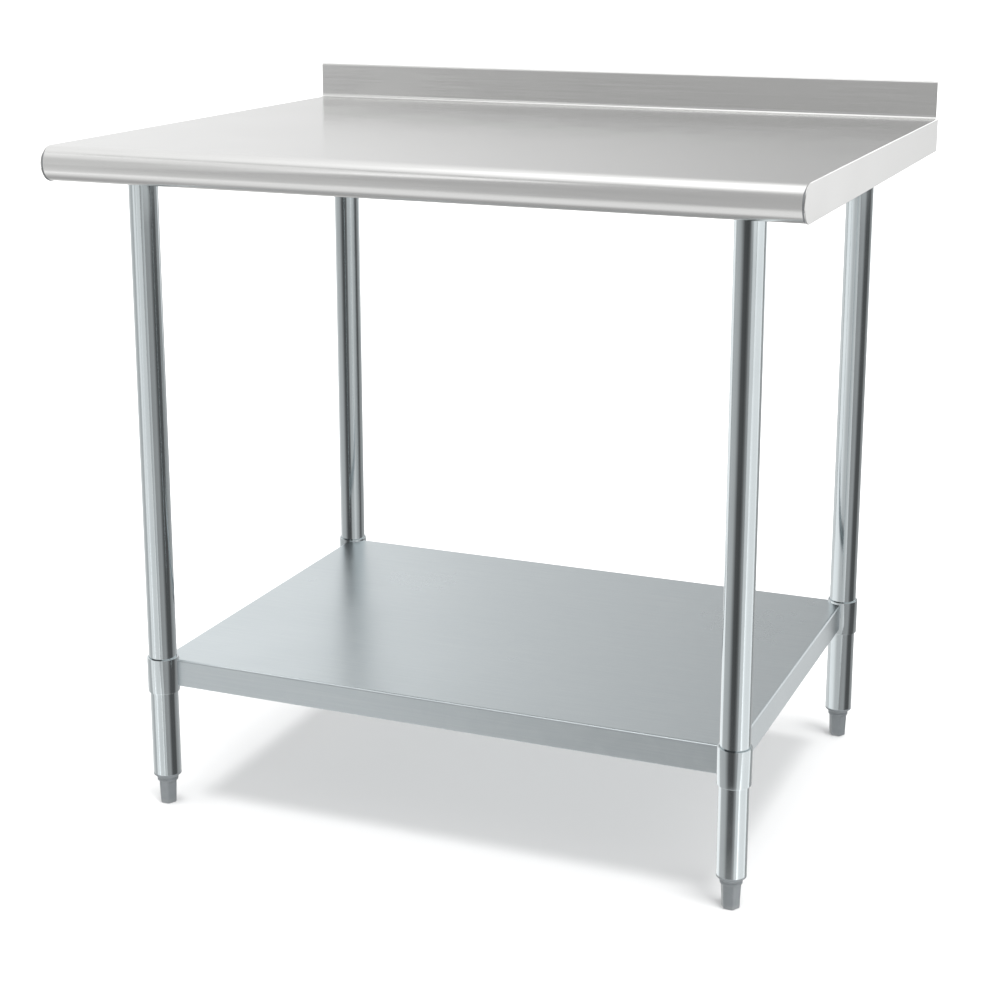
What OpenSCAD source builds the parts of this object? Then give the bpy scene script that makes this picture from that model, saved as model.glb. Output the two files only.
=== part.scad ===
// Stainless work table: folded worktop with a rolled front edge and a low backsplash,
// four tube legs, a height-adjustable undershelf on collars, and four screw-adjustable feet.
// Millimetres, +Z up. Front is -Y. The origin is on the floor, under the middle of the worktop.

/* [Worktop] */
// Overall width of the worktop, left to right
top_w = 980; // [700:10:1200]
// Overall depth of the worktop, front to back
top_d = 782; // [640:2:860]
// Height of the working surface with the feet screwed right in
work_h = 915; // [850:5:950]
// Thickness of the worktop sheet
top_t = 1.5; // [1:0.1:2]
// Height of the rolled front edge and of the end plates
edge_h = 46; // [36:1:56]
// Height of the backsplash above the working surface
upstand_h = 53; // [40:1:100]
// Depth of the folded return along the top of the backsplash
return_d = 9; // [7:1:20]

/* [Legs] */
// Outside diameter of the leg tube
leg_d = 38; // [32:1:42]
// Wall thickness of the leg tube
leg_wall = 1.5; // [1.2:0.1:2]
// Distance from the front and rear edges of the worktop to the leg centres
leg_inset_y = 99.5; // [85:0.5:120]
// Distance from the ends of the worktop to the leg centres
leg_inset_x = 86.5; // [75:0.5:120]

/* [Undershelf] */
// Height of the shelf surface above the floor
shelf_z = 211; // [200:1:500]
// Thickness of the shelf sheet
shelf_t = 1.2; // [1:0.1:1.5]
// Height of the turned-down lip
lip_h = 38; // [30:1:46]
// Height of the sleeve that clamps the shelf to a leg
collar_h = 49; // [40:1:60]

/* [Feet] */
// Height of the plastic foot
foot_h = 37; // [30:1:45]
// Height of the tapered flange between the foot and the leg tube
flange_h = 8; // [6:0.5:12]
// Diameter of the threaded stud
stud_d = 12; // [10:1:14]

/* [Hidden] */
$fn = 96;

// Colours of the finishes
stainless = [0.80, 0.80, 0.80];
galvanised = [0.74, 0.78, 0.80];
zinc = [0.66, 0.68, 0.70];
grey_plastic = [0.50, 0.53, 0.54];

fit = 0.05;        // radial clearance of a turning or sliding fit
gap = 0.3;         // space left between pieces that move apart
seam = 0.1;        // space left where a welded or inserted piece meets its seat
over = 1;          // how far a cutter runs past the face it cuts

// Worktop
roll_r = edge_h / 2 - 0.5;         // the roll sits just inside the end plates' outline
roll_return = 14;                  // flat strip behind the roll, underneath
cove_r = 6;                        // visible radius between top and backsplash
bend_r = 3;                        // outside radius of a sharp sheet bend
plate_t = top_t;
plate_flange = 12;                 // strip turned in along the bottom of an end plate
front_y = -top_d / 2;
rear_y = top_d / 2;
face_y = rear_y - return_d;        // front face of the backsplash
sheet_half_w = top_w / 2 - plate_t;
roll_y = front_y + edge_h / 2;
under_z = work_h - top_t;          // underside of the flat top

// Legs and their sockets
leg_x = top_w / 2 - leg_inset_x;
leg_y = top_d / 2 - leg_inset_y;
leg_r = leg_d / 2;
tube_z = foot_h + flange_h;        // bottom end of the leg tube
socket_wall = 3;
socket_r = leg_r + seam + socket_wall;
socket_top = 2.5;                  // thickness of the socket's closed end
socket_z = work_h - edge_h;         // open lower end of the socket, level with the edges
leg_top_z = under_z - socket_top - seam;
screw_r = 3.9;                     // leg set screw
screw_len = 7;
screw_z = socket_z + 9.5;
hex_key = 4;                       // across the flats of the screw's socket
hex_depth = 3;

// Hat channels
hat_web = 70;
hat_h = 24;
hat_flange = 15;
hat_half_w = hat_web / 2 + hat_flange;
channel_overhang = 43;             // how far a top channel runs past the leg centres
channel_gap = 1.5;

// Undershelf
shelf_half_w = leg_x + 1.2;
shelf_half_d = leg_y - 0.5;
shelf_flange = 12;                 // strip turned in along the bottom of the lip
shelf_bend_r = 3;
collar_r = leg_r + 2.5;
collar_top = shelf_z + 3;
collar_z = collar_top - collar_h;
clamp_r = 2.95;                    // shelf set screw
clamp_len = 9;
clamp_z = collar_z + 17;
boss_r = 6.5;
boss_len = 5;                      // how far the boss stands out of the sleeve
shelf_hat_web = 56;
shelf_hat_h = 20;

// Feet
stud_r = stud_d / 2;
insert_len = 30;                   // length of the plug inside the tube
stud_bottom = 8;                   // height of the stud's lower end inside the foot
stud_top = tube_z + 28;
foot_r = 13.4;                     // to the corners of the hexagon

// A quarter of a sheet bend: ring of outer radius r and thickness t, in the quadrant given by signs
module bend(r, t, sx, sy) {
    intersection() {
        difference() {
            circle(r);
            circle(r - t);
        }
        translate([sx > 0 ? 0 : -r - over, sy > 0 ? 0 : -r - over]) square(r + over);
    }
}

// Turns a profile drawn as (Y, Z) into a bar along X, centred on X = 0
module along_x(length) {
    rotate([90, 0, 90]) translate([0, 0, -length / 2]) linear_extrude(length) children();
}

// Hat channel profile hanging below height 0: web at the bottom, flanges out at the top
module hat_profile(web, h, flange, t) {
    translate([-web / 2, -h]) square([web, t]);
    for (s = [-1, 1]) {
        translate([s * (web - t) / 2 - t / 2, -h]) square([t, h]);
        translate([s > 0 ? web / 2 - t : -web / 2 - flange, -t]) square([flange + t, t]);
    }
}

// One folded sheet: roll, flat top, cove, backsplash and its return, seen from the end
module worktop_profile() {
    cove_y = face_y - cove_r;
    crest_z = work_h + upstand_h;
    // roll at the front, with a flat strip turned in underneath
    translate([roll_y, work_h - roll_r]) {
        bend(roll_r, top_t, -1, 1);
        bend(roll_r, top_t, -1, -1);
        translate([0, -roll_r]) square([roll_return, top_t]);
    }
    // flat top
    translate([roll_y, under_z]) square([cove_y - roll_y, top_t]);
    // cove and backsplash
    translate([cove_y, work_h + cove_r]) bend(cove_r + top_t, top_t, 1, -1);
    translate([face_y, work_h + cove_r]) square([top_t, upstand_h - cove_r - bend_r]);
    // return along the crest, turned down at the back
    translate([face_y + bend_r, crest_z - bend_r]) bend(bend_r, top_t, -1, 1);
    translate([face_y + bend_r, crest_z - top_t]) square([return_d - 2 * bend_r, top_t]);
    translate([rear_y - bend_r, crest_z - bend_r]) bend(bend_r, top_t, 1, 1);
    translate([rear_y - top_t, crest_z - 14]) square([top_t, 14 - bend_r]);
}

module worktop() {
    color(stainless) along_x(2 * sheet_half_w) worktop_profile();
}

// End plate with a half-round nose; side is -1 for left and 1 for right
module end_plate(side) {
    flange_y = roll_y + roll_return + 4;
    color(stainless) {
        translate([side * (sheet_half_w + plate_t / 2), 0, 0]) along_x(plate_t) {
            translate([roll_y, work_h - edge_h / 2]) circle(edge_h / 2);
            translate([roll_y, work_h - edge_h]) square([rear_y - roll_y, edge_h]);
        }
        translate([side > 0 ? sheet_half_w - plate_flange : -sheet_half_w, flange_y, work_h - edge_h])
            cube([plate_flange, rear_y - flange_y, plate_t]);
    }
}

// Top channel, front to back over a pair of legs
module top_channel(side) {
    length = 2 * (leg_y + channel_overhang);
    color(galvanised) difference() {
        translate([side * leg_x, 0, under_z]) rotate([0, 0, 90])
            along_x(length) hat_profile(hat_web, hat_h, hat_flange, top_t);
        for (s = [-1, 1])
            translate([side * leg_x, s * leg_y, under_z - hat_h - over])
                cylinder(r = socket_r + seam, h = top_t + 2 * over);
    }
}

module centre_top_channel() {
    length = 2 * (leg_x - hat_half_w - channel_gap);
    color(galvanised) translate([0, 0, under_z])
        along_x(length) hat_profile(hat_web, hat_h, hat_flange, top_t);
}

// Closed cup that the leg stands up into; its screw faces the middle of the table
module leg_socket(sx, sy) {
    color(zinc) translate([sx * leg_x, sy * leg_y, 0]) difference() {
        translate([0, 0, socket_z]) cylinder(r = socket_r, h = under_z - socket_z);
        translate([0, 0, socket_z - over])
            cylinder(r = leg_r + seam, h = under_z - socket_top - socket_z + over);
        translate([0, 0, screw_z]) rotate([0, -90 * sx, 0]) cylinder(r = screw_r + fit, h = socket_r + over);
    }
}

// Set screw lying along its axis, tip at height 0, with a hexagonal socket in its head
module set_screw(r, length) {
    difference() {
        cylinder(r = r, h = length);
        translate([0, 0, length - hex_depth])
            cylinder(r = hex_key / sqrt(3), h = hex_depth + over, $fn = 6);
    }
}

module leg_set_screws() {
    color(zinc) for (sx = [-1, 1], sy = [-1, 1])
        translate([sx * leg_x, sy * leg_y, screw_z]) rotate([0, -90 * sx, 0])
            translate([0, 0, leg_r + seam]) set_screw(screw_r, screw_len);
}

module leg(sx, sy) {
    color(galvanised) translate([sx * leg_x, sy * leg_y, tube_z]) difference() {
        cylinder(r = leg_r, h = leg_top_z - tube_z);
        translate([0, 0, -over]) cylinder(r = leg_r - leg_wall, h = leg_top_z - tube_z + 2 * over);
    }
}

// Plug in the tube's end: a tapered flange below, bored through for the stud
module leg_insert(sx, sy) {
    plug_r = leg_r - leg_wall - seam;
    color(grey_plastic) translate([sx * leg_x, sy * leg_y, 0]) rotate_extrude() polygon([
        [stud_r + fit, foot_h],
        [foot_r, foot_h],
        [leg_r, tube_z - 1.5],
        [leg_r, tube_z],
        [plug_r, tube_z],
        [plug_r, tube_z + insert_len - 2],
        [plug_r - 2, tube_z + insert_len],
        [stud_r + fit, tube_z + insert_len]
    ]);
}

// One side of the pan, seen from its end: bend, lip and turned-in strip, edge at 0, sheet top at 0
module lip_profile() {
    translate([shelf_bend_r, -shelf_bend_r]) bend(shelf_bend_r, shelf_t, -1, 1);
    translate([0, -lip_h]) square([shelf_t, lip_h - shelf_bend_r]);
    translate([0, -lip_h]) square([shelf_flange, shelf_t]);
}

module undershelf() {
    flat_w = 2 * (shelf_half_w - shelf_bend_r);
    flat_d = 2 * (shelf_half_d - shelf_bend_r);
    color(galvanised) difference() {
        translate([0, 0, shelf_z]) {
            translate([-flat_w / 2, -flat_d / 2, -shelf_t]) cube([flat_w, flat_d, shelf_t]);
            for (turn = [0, 180]) {
                rotate([0, 0, turn]) translate([0, -shelf_half_d, 0]) along_x(flat_w) lip_profile();
                rotate([0, 0, turn + 90]) translate([0, -shelf_half_w, 0]) along_x(flat_d) lip_profile();
            }
        }
        for (sx = [-1, 1], sy = [-1, 1])
            translate([sx * leg_x, sy * leg_y, shelf_z - lip_h - over])
                cylinder(r = collar_r + seam, h = lip_h + 2 * over);
    }
}

module shelf_channel() {
    length = 2 * (shelf_half_w - shelf_flange - channel_gap);
    color(galvanised) translate([0, 0, shelf_z - shelf_t])
        along_x(length) hat_profile(shelf_hat_web, shelf_hat_h, hat_flange, shelf_t);
}

// Direction from a corner leg to the middle of the table, as a turn about Z
function inward(sx, sy) = sx > 0 ? (sy > 0 ? 225 : 135) : (sy > 0 ? 315 : 45);

// Sleeve round a leg with a threaded boss on its inner side
module shelf_collar(sx, sy) {
    color(galvanised) translate([sx * leg_x, sy * leg_y, 0]) difference() {
        union() {
            translate([0, 0, collar_z]) cylinder(r = collar_r, h = collar_h);
            translate([0, 0, clamp_z]) rotate([0, 90, inward(sx, sy)])
                cylinder(r = boss_r, h = collar_r + boss_len);
        }
        translate([0, 0, collar_z - over]) cylinder(r = leg_r + gap, h = collar_h + 2 * over);
        translate([0, 0, clamp_z]) rotate([0, 90, inward(sx, sy)])
            cylinder(r = clamp_r + fit, h = collar_r + boss_len + over);
    }
}

module shelf_set_screws() {
    color(zinc) for (sx = [-1, 1], sy = [-1, 1])
        translate([sx * leg_x, sy * leg_y, clamp_z]) rotate([0, 90, inward(sx, sy)])
            translate([0, 0, leg_r + gap]) set_screw(clamp_r, clamp_len);
}

module foot_stud(sx, sy) {
    color(zinc) translate([sx * leg_x, sy * leg_y, stud_bottom])
        cylinder(r = stud_r, h = stud_top - stud_bottom);
}

// Tapered foot with a hexagonal upper part and a rounded-off lower rim
module foot(sx, sy) {
    top_z = foot_h - gap;
    color(grey_plastic) translate([sx * leg_x, sy * leg_y, 0]) difference() {
        intersection() {
            cylinder(r = foot_r, h = top_z, $fn = 6);
            rotate_extrude() polygon([
                [0, 0], [8.6, 0], [10.2, 0.8], [11, 2.6], [12, 14], [foot_r, 30], [foot_r, top_z - 1],
                [foot_r - 1, top_z], [0, top_z]
            ]);
        }
        translate([0, 0, stud_bottom - gap]) cylinder(r = stud_r + fit, h = top_z);
    }
}

worktop();
end_plate(-1);  // left_end_plate
end_plate(1);  // right_end_plate
top_channel(-1);  // left_top_channel
top_channel(1);  // right_top_channel
centre_top_channel();
leg_socket(-1, -1);  // leg_socket_front_left
leg_socket(1, -1);  // leg_socket_front_right
leg_socket(-1, 1);  // leg_socket_rear_left
leg_socket(1, 1);  // leg_socket_rear_right
leg_set_screws();
leg(-1, -1);  // leg_front_left
leg(1, -1);  // leg_front_right
leg(-1, 1);  // leg_rear_left
leg(1, 1);  // leg_rear_right
leg_insert(-1, -1);  // leg_insert_front_left
leg_insert(1, -1);  // leg_insert_front_right
leg_insert(-1, 1);  // leg_insert_rear_left
leg_insert(1, 1);  // leg_insert_rear_right
undershelf();
shelf_channel();
shelf_collar(-1, -1);  // shelf_collar_front_left
shelf_collar(1, -1);  // shelf_collar_front_right
shelf_collar(-1, 1);  // shelf_collar_rear_left
shelf_collar(1, 1);  // shelf_collar_rear_right
shelf_set_screws();
foot_stud(-1, -1);  // foot_stud_front_left
foot_stud(1, -1);  // foot_stud_front_right
foot_stud(-1, 1);  // foot_stud_rear_left
foot_stud(1, 1);  // foot_stud_rear_right
foot(-1, -1);  // foot_front_left
foot(1, -1);  // foot_front_right
foot(-1, 1);  // foot_rear_left
foot(1, 1);  // foot_rear_right
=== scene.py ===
"""Stainless work table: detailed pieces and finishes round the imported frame. Metres, +Z up, front -Y."""
import math

import bpy
import bmesh
from mathutils import Matrix, Vector


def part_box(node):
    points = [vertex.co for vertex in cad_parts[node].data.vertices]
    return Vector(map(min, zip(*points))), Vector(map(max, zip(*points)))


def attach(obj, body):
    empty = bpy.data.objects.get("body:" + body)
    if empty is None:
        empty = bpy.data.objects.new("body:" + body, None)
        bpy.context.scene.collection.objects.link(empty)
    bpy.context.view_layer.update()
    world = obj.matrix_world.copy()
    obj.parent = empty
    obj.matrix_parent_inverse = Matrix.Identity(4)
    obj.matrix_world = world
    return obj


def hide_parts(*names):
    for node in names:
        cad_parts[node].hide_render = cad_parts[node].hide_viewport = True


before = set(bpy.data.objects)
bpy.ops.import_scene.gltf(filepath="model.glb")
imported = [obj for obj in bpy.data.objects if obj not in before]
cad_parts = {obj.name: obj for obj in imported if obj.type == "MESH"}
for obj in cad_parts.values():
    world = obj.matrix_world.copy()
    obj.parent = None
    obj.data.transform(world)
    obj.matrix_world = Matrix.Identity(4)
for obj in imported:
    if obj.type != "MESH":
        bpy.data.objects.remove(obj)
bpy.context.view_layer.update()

MM = 0.001
CORNERS = {
    "front_left": (-1, -1),
    "front_right": (1, -1),
    "rear_left": (-1, 1),
    "rear_right": (1, 1),
}


# ---------------------------------------------------------------- sizes read from the frame

def centre(node):
    low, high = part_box(node)
    return (low + high) / 2


top_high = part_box("worktop")[1]
plate_low, plate_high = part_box("right_end_plate")
shelf_low, shelf_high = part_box("undershelf")
leg_low, leg_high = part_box("leg_front_right")
socket_low, socket_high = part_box("leg_socket_front_right")
insert_low, insert_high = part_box("leg_insert_front_right")
foot_low, foot_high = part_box("foot_front_right")

leg_radius = (leg_high.x - leg_low.x) / 2
leg_spot = {name: Vector((centre("leg_" + name).x, centre("leg_" + name).y, 0)) for name in CORNERS}
socket_radius = (socket_high.x - socket_low.x) / 2
collar_radius = leg_radius + 2.5 * MM
work_height = plate_high.z
edge_height = plate_high.z - plate_low.z
nose_y = plate_low.y + edge_height / 2      # the middle of the roll and of the end plates' round noses
sheet = 1.5 * MM                            # gauge of the worktop, its end plates and its channels
shelf_sheet = 1.2 * MM
leg_wall = 1.5 * MM
collar_wall = 2.2 * MM
socket_wall = 3.0 * MM
channel_flange = 15 * MM
stud_bore = 6.05 * MM                       # radius in the inserts and feet
thread_pitch = 1.75 * MM


# ---------------------------------------------------------------- materials

def linear(hex_colour):
    """sRGB hex string to linear RGBA."""
    channels = [int(hex_colour[i:i + 2], 16) / 255 for i in (0, 2, 4)]
    return [c / 12.92 if c <= 0.04045 else ((c + 0.055) / 1.055) ** 2.4 for c in channels] + [1.0]


def add_node(tree, kind, settings=None, **links):
    """Adds a node to a tree, sets its properties and socket values, and links its sockets.

    settings maps property names, input names or input numbers to values. links maps input names, with
    spaces written as underscores, or in0, in1 and so on for numbers, to output sockets, or to nodes
    whose first output is meant."""
    made = tree.nodes.new(kind)
    for key, value in (settings or {}).items():
        if isinstance(key, str) and hasattr(made, key):
            setattr(made, key, value)
        else:
            made.inputs[key].default_value = value
    for key, source in links.items():
        numbered = key[:2] == "in" and key[2:].isdigit()
        socket = made.inputs[int(key[2:]) if numbered else key.replace("_", " ")]
        tree.links.new(source.outputs[0] if isinstance(source, bpy.types.Node) else source, socket)
    return made


def new_material(name, colour, metallic, roughness, **extra):
    """A material with one Principled shader; returns it, its tree, the shader and Object coordinates."""
    material = bpy.data.materials.new(name)
    material.use_nodes = True
    tree = material.node_tree
    shader = tree.nodes["Principled BSDF"]
    shader.inputs["Base Color"].default_value = linear(colour)
    shader.inputs["Metallic"].default_value = metallic
    shader.inputs["Roughness"].default_value = roughness
    for key, value in extra.items():
        shader.inputs[key.replace("_", " ")].default_value = value
    place = add_node(tree, "ShaderNodeTexCoord").outputs["Object"]
    return material, tree, shader, place


def spread(low, high):
    """Map Range settings that take a noise, which mostly runs from 0.3 to 0.7, to low and high."""
    return {"From Min": 0.3, "From Max": 0.7, "To Min": low, "To Max": high}


def line_scales(width_mm, length_mm, along):
    """Scales for a pattern of lines of a width and a length, running along X, Y or Z."""
    scale = [1 / (width_mm * MM)] * 3
    scale["XYZ".index(along)] = 1 / (length_mm * MM)
    return scale


def dress(tree, shader, colours, tone, rough=None, relief=None, strength=0.0, depth_mm=0.0):
    """Joins a material's patterns to its shader: a tint between two colours, roughness and relief."""
    dark, light = colours
    tint = add_node(tree, "ShaderNodeMix", {"data_type": "RGBA", 6: linear(dark), 7: linear(light)},
                    Factor=tone)
    tree.links.new(tint.outputs[2], shader.inputs["Base Color"])
    if rough:
        tree.links.new(rough, shader.inputs["Roughness"])
    if relief:
        bump = add_node(tree, "ShaderNodeBump", {"Strength": strength, "Distance": depth_mm * MM},
                        Height=relief)
        tree.links.new(bump.outputs["Normal"], shader.inputs["Normal"])
    return tint


def brushed_stainless(name, along):
    """Type 304 sheet with a number 4 finish: belt-ground in one direction, so it shows fine parallel
    lines along the grain, a soft sheen across it, and a few longer handling scratches."""
    material, tree, shader, place = new_material(name, "E0E0E0", 1.0, 0.2, Anisotropic=0.5,
                                                 Anisotropic_Rotation=0.25)
    lie = add_node(tree, "ShaderNodeCombineXYZ", {along: 1.0})      # the grain's direction
    tree.links.new(lie.outputs["Vector"], shader.inputs["Tangent"])
    grain_mm = 0.9          # real grit lines are about 0.1 mm wide, drawn coarser so that they show
    grain_length_mm = 90
    lines = add_node(tree, "ShaderNodeMapping", {"Scale": line_scales(grain_mm, grain_length_mm, along)},
                     Vector=place)
    grain = add_node(tree, "ShaderNodeTexNoise", {"Scale": 1.0, "Detail": 3.0, "Roughness": 0.6},
                     Vector=lines).outputs["Fac"]
    cloud_per_metre = 6.0
    cloud = add_node(tree, "ShaderNodeTexNoise",
                     {"Scale": cloud_per_metre, "Detail": 4.0, "Roughness": 0.55},
                     Vector=place).outputs["Fac"]
    scratch_mm = 2.0
    scratch_length_mm = 160
    lines = add_node(tree, "ShaderNodeMapping",
                     {"Scale": line_scales(scratch_mm, scratch_length_mm, along)}, Vector=place)
    hair = add_node(tree, "ShaderNodeTexNoise", {"Scale": 1.0, "Detail": 2.0, "Roughness": 0.8},
                    Vector=lines).outputs["Fac"]
    scratch = add_node(tree, "ShaderNodeMapRange", {"From Min": 0.72, "From Max": 0.78}, Value=hair)
    ground = add_node(tree, "ShaderNodeMapRange", spread(0.155, 0.235), Value=grain)
    smudge = add_node(tree, "ShaderNodeMapRange", spread(-0.02, 0.03), Value=cloud)
    rough = add_node(tree, "ShaderNodeMath", {"operation": "ADD"}, in0=ground, in1=smudge)
    scratch_roughness = 0.06
    rough = add_node(tree, "ShaderNodeMath", {"operation": "MULTIPLY_ADD", 1: scratch_roughness},
                     in0=scratch, in2=rough)
    dress(tree, shader, ("DADAD9", "E7E7E6"), grain, rough.outputs[0], grain, 0.08, 0.06)
    return material


def galvanised_sheet():
    """Zinc-coated steel sheet, skin-passed: blue-grey, with a faint spangle of 8 to 15 mm crystals and
    soft rolling lines."""
    material, tree, shader, place = new_material("galvanised_sheet", "C9D0D3", 1.0, 0.3)
    spangle_mm = 12
    spangle = add_node(tree, "ShaderNodeTexVoronoi", {"Scale": 1 / (spangle_mm * MM), "Randomness": 1.0},
                       Vector=place)
    flake = add_node(tree, "ShaderNodeSeparateColor", None,
                     Color=spangle.outputs["Color"]).outputs["Red"]
    line_mm = 2.4
    line_length_mm = 110
    lines = add_node(tree, "ShaderNodeMapping", {"Scale": line_scales(line_mm, line_length_mm, "X")},
                     Vector=place)
    roll = add_node(tree, "ShaderNodeTexNoise", {"Scale": 1.0, "Detail": 3.0},
                    Vector=lines).outputs["Fac"]
    cloud_per_metre = 4.0
    cloud = add_node(tree, "ShaderNodeTexNoise", {"Scale": cloud_per_metre, "Detail": 3.0},
                     Vector=place).outputs["Fac"]
    flake_share = 0.18
    blend = add_node(tree, "ShaderNodeMath", {"operation": "MULTIPLY_ADD", 1: flake_share},
                     in0=flake, in2=roll)
    crystal = add_node(tree, "ShaderNodeMapRange", {"To Min": 0.285, "To Max": 0.315}, Value=flake)
    smudge = add_node(tree, "ShaderNodeMapRange", spread(-0.02, 0.03), Value=cloud)
    rough = add_node(tree, "ShaderNodeMath", {"operation": "ADD"}, in0=crystal, in1=smudge)
    dress(tree, shader, ("C5CDD1", "D1D8DA"), blend.outputs[0], rough.outputs[0], roll, 0.02, 0.06)
    return material


def bright_tube():
    """Drawn steel tube, bright galvanised and polished: mirror-like with sharp lengthwise reflections,
    faint draw lines along its length and slight clouding from handling."""
    material, tree, shader, place = new_material("bright_tube", "D4DBDE", 1.0, 0.1)
    line_mm = 1.1
    line_length_mm = 200
    drawn = add_node(tree, "ShaderNodeMapping", {"Scale": line_scales(line_mm, line_length_mm, "Z")},
                     Vector=place)
    lines = add_node(tree, "ShaderNodeTexNoise", {"Scale": 1.0, "Detail": 3.0, "Roughness": 0.6},
                     Vector=drawn).outputs["Fac"]
    cloud_per_metre = 14.0
    cloud = add_node(tree, "ShaderNodeTexNoise", {"Scale": cloud_per_metre, "Detail": 4.0},
                     Vector=place).outputs["Fac"]
    drawn_rough = add_node(tree, "ShaderNodeMapRange", spread(0.09, 0.15), Value=lines)
    smudge = add_node(tree, "ShaderNodeMapRange", spread(-0.015, 0.03), Value=cloud)
    rough = add_node(tree, "ShaderNodeMath", {"operation": "ADD"}, in0=drawn_rough, in1=smudge)
    dress(tree, shader, ("CFD7DA", "DDE4E6"), cloud, rough.outputs[0], lines, 0.05, 0.04)
    return material


def zinc_plate():
    """Zinc-plated turned steel: slightly blue, satin, with fine turning marks round the axis."""
    material, tree, shader, place = new_material("zinc_plate", "B9BEC2", 1.0, 0.32)
    mark_mm = 0.6
    mark_length_mm = 17
    scale = [1 / (mark_length_mm * MM), 1 / (mark_length_mm * MM), 1 / (mark_mm * MM)]
    turned = add_node(tree, "ShaderNodeMapping", {"Scale": scale}, Vector=place)
    rings = add_node(tree, "ShaderNodeTexNoise", {"Scale": 1.0, "Detail": 2.0},
                     Vector=turned).outputs["Fac"]
    rough = add_node(tree, "ShaderNodeMapRange", spread(0.26, 0.40), Value=rings)
    dress(tree, shader, ("AEB4B8", "C6CBCE"), rings, rough.outputs["Result"], rings, 0.15, 0.05)
    return material


def moulded_nylon():
    """Glass-filled nylon, injection moulded: mid grey, a fine spark-eroded texture, scuffed a little
    lighter low down where it meets the floor."""
    material, tree, shader, place = new_material("moulded_nylon", "808588", 0.0, 0.36, IOR=1.53)
    texture_mm = 0.9
    texture = add_node(tree, "ShaderNodeTexNoise", {"Scale": 1 / (texture_mm * MM), "Detail": 2.0},
                       Vector=place).outputs["Fac"]
    mottle_mm = 11
    mottle = add_node(tree, "ShaderNodeTexNoise", {"Scale": 1 / (mottle_mm * MM), "Detail": 4.0},
                      Vector=place).outputs["Fac"]
    rough = add_node(tree, "ShaderNodeMapRange", spread(0.30, 0.42), Value=mottle)
    tint = dress(tree, shader, ("7A7F82", "888D90"), mottle, rough.outputs["Result"], texture, 0.2, 0.08)
    height = add_node(tree, "ShaderNodeSeparateXYZ", None, Vector=place).outputs["Z"]
    scuff_mm = 8
    scuff = add_node(tree, "ShaderNodeMapRange", {"From Max": scuff_mm * MM, "To Min": 1.0, "To Max": 0.0},
                     Value=height)
    worn = add_node(tree, "ShaderNodeMath", {"operation": "MULTIPLY"}, in0=scuff, in1=mottle)
    lighter = add_node(tree, "ShaderNodeMix", {"data_type": "RGBA", 7: linear("9C9FA0")},
                       Factor=worn, in6=tint.outputs[2])
    tree.links.new(lighter.outputs[2], shader.inputs["Base Color"])
    return material


def painted_seam_shade_finish():
    """A dark grey strip for the seam between the roll and each end plate: painted shade for the shadowed
    recess there, with a soft sheen and a slightly uneven tone.
    """
    material, tree, shader, place = new_material("painted_seam_shade", "77797B", 0.0, 0.45, IOR=1.41)
    ripple_mm = 4
    uneven = add_node(tree, "ShaderNodeTexNoise", {"Scale": 1 / (ripple_mm * MM), "Detail": 2.0},
                      Vector=place).outputs["Fac"]
    dress(tree, shader, ("6F7173", "808284"), uneven, None, uneven, 0.3, 0.2)
    return material


def weld_metal():
    """Fused weld bead, brushed after welding: duller than the sheet, with a light straw and grey tint."""
    material, tree, shader, place = new_material("weld_metal", "A8A9A8", 1.0, 0.45)
    speck_mm = 1.4
    speck = add_node(tree, "ShaderNodeTexNoise", {"Scale": 1 / (speck_mm * MM), "Detail": 3.0},
                     Vector=place).outputs["Fac"]
    rough = add_node(tree, "ShaderNodeMapRange", spread(0.36, 0.56), Value=speck)
    dress(tree, shader, ("8F8D88", "B9BABA"), speck, rough.outputs["Result"])
    return material


stainless = brushed_stainless("stainless_no4", "X")
stainless_side = brushed_stainless("stainless_no4_end_plates", "Y")
zinc_sheet = galvanised_sheet()
tube_finish = bright_tube()
fitting_finish = zinc_plate()
nylon = moulded_nylon()
weld_finish = weld_metal()
# dark grey seam strip finish: painted shade in the gap between the roll and the end plates
seam_shade_paint = painted_seam_shade_finish()


# ---------------------------------------------------------------- mesh helpers

def cleaned(mesh):
    """Merges points that coincide and turns every face outwards."""
    bm = bmesh.new()
    bm.from_mesh(mesh)
    bmesh.ops.remove_doubles(bm, verts=bm.verts, dist=1e-6)
    bmesh.ops.recalc_face_normals(bm, faces=bm.faces)
    bm.to_mesh(mesh)
    bm.free()
    return mesh


def mesh_piece(name, vertices, faces, material, body, slot, replaced=(), sharp_deg=30.0):
    mesh = bpy.data.meshes.new(name)
    mesh.from_pydata(vertices, [], faces)
    return finish_piece(name, cleaned(mesh), material, body, slot, replaced, sharp_deg)


def finish_piece(name, mesh, material, body, slot, replaced=(), sharp_deg=30.0):
    """A finished piece: smooth shading with crisp edges, riding on its body in place of its CAD nodes."""
    mesh.materials.clear()
    mesh.materials.append(material)
    mesh.shade_smooth()
    mesh.set_sharp_from_angle(angle=math.radians(sharp_deg))
    piece = bpy.data.objects.new(name, mesh)
    bpy.context.scene.collection.objects.link(piece)
    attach(piece, body)
    if replaced:
        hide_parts(*replaced)
    return piece


def rounded_path(points, radii, steps=10):
    """A flat path through corner points, each corner turned into an arc of its own radius."""
    path = [Vector(points[0])]
    for before, corner, after, radius in zip(points, points[1:], points[2:], radii):
        corner = Vector(corner)
        arm_in = (Vector(before) - corner).normalized()
        arm_out = (Vector(after) - corner).normalized()
        half = arm_in.angle(arm_out) / 2
        reach = radius / math.tan(half)
        middle = corner + (arm_in + arm_out).normalized() * (radius / math.sin(half))
        start = corner + arm_in * reach - middle
        end = corner + arm_out * reach - middle
        sweep = start.angle_signed(end)
        for k in range(steps + 1):
            turn = Matrix.Rotation(-sweep * k / steps, 2)
            path.append(middle + turn @ start)
    path.append(Vector(points[-1]))
    return path


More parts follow.
